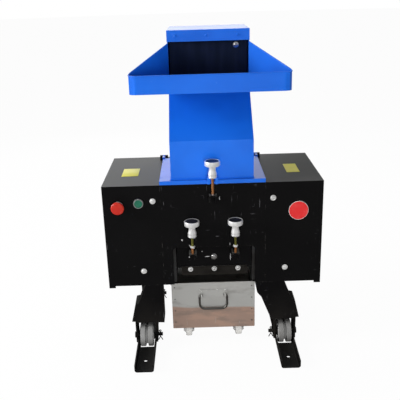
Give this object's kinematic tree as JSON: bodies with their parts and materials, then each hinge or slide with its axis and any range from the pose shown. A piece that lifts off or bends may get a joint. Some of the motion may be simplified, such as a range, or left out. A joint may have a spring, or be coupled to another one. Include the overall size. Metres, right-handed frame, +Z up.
{
  "type": "plastic granulator",
  "caption": "Small granulator for plastic waste: tilting feed hopper over a bladed rotor and screen, belt drive, collecting bin on casters, wheeled feet.",
  "frame": {"origin": "on the floor under the middle of the machine", "axes": "+Z up, +Y to the back, the feed tray and bin face -Y, +X to the machine's right as seen from the front"},
  "size_m": [0.67, 0.614, 0.998],
  "materials": {
    "black_paint": "satin black paint with scuffs",
    "blue_paint": "gloss blue enamel",
    "cast_grey": "machined and painted grey iron",
    "steel": "machined steel",
    "stainless": "mill-finish stainless sheet",
    "chrome": "bright plated",
    "copper_rod": "copper-coloured plating on threaded rod",
    "black_rubber": "matte rubber sheet",
    "grey_wheel": "solid light grey wheel",
    "white_plastic": "moulded nylon",
    "grey_plastic": "moulded housing",
    "red_plastic": "gloss moulded",
    "green_plastic": "gloss moulded"
  },
  "bodies": {
    "root": {"front_plate": "black_paint", "rear_panel": "black_paint", "top_plate": "black_paint", "chamber_side_left": "cast_grey", "chamber_side_right": "cast_grey", "chamber_walls": "cast_grey", "fixed_knives": "steel", "bearings": "cast_grey", "base_plates": "black_paint", "left_cover": "black_paint", "right_cover": "black_paint", "panel_screws": "steel", "left_rail": "black_paint", "right_rail": "black_paint", "front_left_leg": "black_paint", "front_right_leg": "black_paint", "rear_left_leg": "black_paint", "rear_right_leg": "black_paint", "wheel_pins": "steel", "motor_housing": "cast_grey", "motor_bracket": "black_paint", "control_gear": "grey_plastic", "hopper_hinges": "cast_grey", "drive_belts": "black_rubber"},
    "hopper": {"hopper_flange": "blue_paint", "hopper_chute": "blue_paint", "feed_tray": "blue_paint", "curtain_strip": "blue_paint", "hinge_leaves": "cast_grey"},
    "curtain": {"rubber_curtain": "black_rubber"},
    "top_bolt": {"top_bolt": "copper_rod"},
    "left_bolt": {"left_bolt": "copper_rod"},
    "right_bolt": {"right_bolt": "copper_rod"},
    "top_knob": {"top_knob": "chrome"},
    "left_knob": {"left_knob": "chrome"},
    "right_knob": {"right_knob": "chrome"},
    "cradle": {"screen_cradle": "black_paint", "screen": "steel", "discharge_lip": "steel"},
    "bin": {"bin_shell": "stainless", "handle_plate": "stainless", "caster_forks": "steel"},
    "bin_handle": {"bin_handle": "stainless"},
    "caster_fl": {"caster_wheel_fl": "white_plastic"},
    "caster_fr": {"caster_wheel_fr": "white_plastic"},
    "caster_rl": {"caster_wheel_rl": "white_plastic"},
    "caster_rr": {"caster_wheel_rr": "white_plastic"},
    "rotor": {"rotor_shaft": "steel", "rotor_core": "cast_grey", "rotor_knives": "steel", "driven_pulley": "cast_grey", "flywheel": "cast_grey"},
    "motor_rotor": {"motor_shaft": "steel", "motor_pulley": "cast_grey"},
    "wheel_fl": {"wheel_fl": "grey_wheel"},
    "wheel_fr": {"wheel_fr": "grey_wheel"},
    "wheel_rl": {"wheel_rl": "grey_wheel"},
    "wheel_rr": {"wheel_rr": "grey_wheel"},
    "stop_button": {"stop_button": "red_plastic"},
    "start_button": {"start_button": "green_plastic"}
  },
  "joints": [
    {"name": "hopper_tilt", "type": "hinge", "parent": "root", "child": "hopper", "pos_m": [0, 0.121, 0.572], "axis": [-1, 0, 0], "range_deg": [0, 80]},
    {"name": "curtain_swing", "type": "hinge", "parent": "hopper", "child": "curtain", "pos_m": [0, 0.006, 0.986], "axis": [1, 0, 0], "range_deg": [0, 50]},
    {"name": "top_bolt_swing", "type": "hinge", "parent": "hopper", "child": "top_bolt", "pos_m": [0, -0.184, 0.527], "axis": [1, 0, 0], "range_deg": [0, 95]},
    {"name": "top_knob_turn", "type": "hinge", "parent": "top_bolt", "child": "top_knob", "pos_m": [0, -0.184, 0.6], "axis": [0, 0, 1], "continuous": true},
    {"name": "left_bolt_swing", "type": "hinge", "parent": "root", "child": "left_bolt", "pos_m": [-0.066, -0.189, 0.34], "axis": [1, 0, 0], "range_deg": [0, 95]},
    {"name": "left_knob_turn", "type": "hinge", "parent": "left_bolt", "child": "left_knob", "pos_m": [-0.066, -0.189, 0.42], "axis": [0, 0, 1], "continuous": true},
    {"name": "right_bolt_swing", "type": "hinge", "parent": "root", "child": "right_bolt", "pos_m": [0.066, -0.189, 0.34], "axis": [1, 0, 0], "range_deg": [0, 95]},
    {"name": "right_knob_turn", "type": "hinge", "parent": "right_bolt", "child": "right_knob", "pos_m": [0.066, -0.189, 0.42], "axis": [0, 0, 1], "continuous": true},
    {"name": "cradle_drop", "type": "hinge", "parent": "root", "child": "cradle", "pos_m": [0, 0.06, 0.374], "axis": [1, 0, 0], "range_deg": [0, 20]},
    {"name": "bin_slide", "type": "slide", "parent": "root", "child": "bin", "axis": [0, -1, 0], "range_m": [0, 0.25]},
    {"name": "bin_handle_lift", "type": "hinge", "parent": "bin", "child": "bin_handle", "pos_m": [-0.005, -0.154, 0.179], "axis": [-1, 0, 0], "range_deg": [0, 100]},
    {"name": "caster_fl_roll", "type": "hinge", "parent": "bin", "child": "caster_fl", "pos_m": [-0.089, -0.092, 0.0203], "axis": [1, 0, 0], "continuous": true},
    {"name": "caster_fr_roll", "type": "hinge", "parent": "bin", "child": "caster_fr", "pos_m": [0.079, -0.092, 0.0203], "axis": [1, 0, 0], "continuous": true},
    {"name": "caster_rl_roll", "type": "hinge", "parent": "bin", "child": "caster_rl", "pos_m": [-0.089, -0.016, 0.0203], "axis": [1, 0, 0], "continuous": true},
    {"name": "caster_rr_roll", "type": "hinge", "parent": "bin", "child": "caster_rr", "pos_m": [0.079, -0.016, 0.0203], "axis": [1, 0, 0], "continuous": true},
    {"name": "wheel_fl_roll", "type": "hinge", "parent": "root", "child": "wheel_fl", "pos_m": [-0.226, -0.144, 0.038], "axis": [1, 0, 0], "continuous": true},
    {"name": "wheel_fr_roll", "type": "hinge", "parent": "root", "child": "wheel_fr", "pos_m": [0.226, -0.144, 0.038], "axis": [1, 0, 0], "continuous": true},
    {"name": "wheel_rl_roll", "type": "hinge", "parent": "root", "child": "wheel_rl", "pos_m": [-0.226, 0.144, 0.038], "axis": [1, 0, 0], "continuous": true},
    {"name": "wheel_rr_roll", "type": "hinge", "parent": "root", "child": "wheel_rr", "pos_m": [0.226, 0.144, 0.038], "axis": [1, 0, 0], "continuous": true},
    {"name": "rotor_spin", "type": "hinge", "parent": "root", "child": "rotor", "pos_m": [0, -0.042, 0.41], "axis": [1, 0, 0], "continuous": true},
    {"name": "motor_spin", "type": "hinge", "parent": "root", "child": "motor_rotor", "pos_m": [0.1, 0.126, 0.268], "axis": [1, 0, 0], "continuous": true},
    {"name": "stop_press", "type": "slide", "parent": "root", "child": "stop_button", "axis": [0, 1, 0], "range_m": [0, 0.004], "stiffness_N_per_m": 500, "springref_m": -0.003},
    {"name": "start_press", "type": "slide", "parent": "root", "child": "start_button", "axis": [0, 1, 0], "range_m": [0, 0.003], "stiffness_N_per_m": 300, "springref_m": -0.003}
  ],
  "couplings": [
    {"joint": "motor_spin", "follows": "rotor_spin", "ratio": 2.8788}
  ]
}
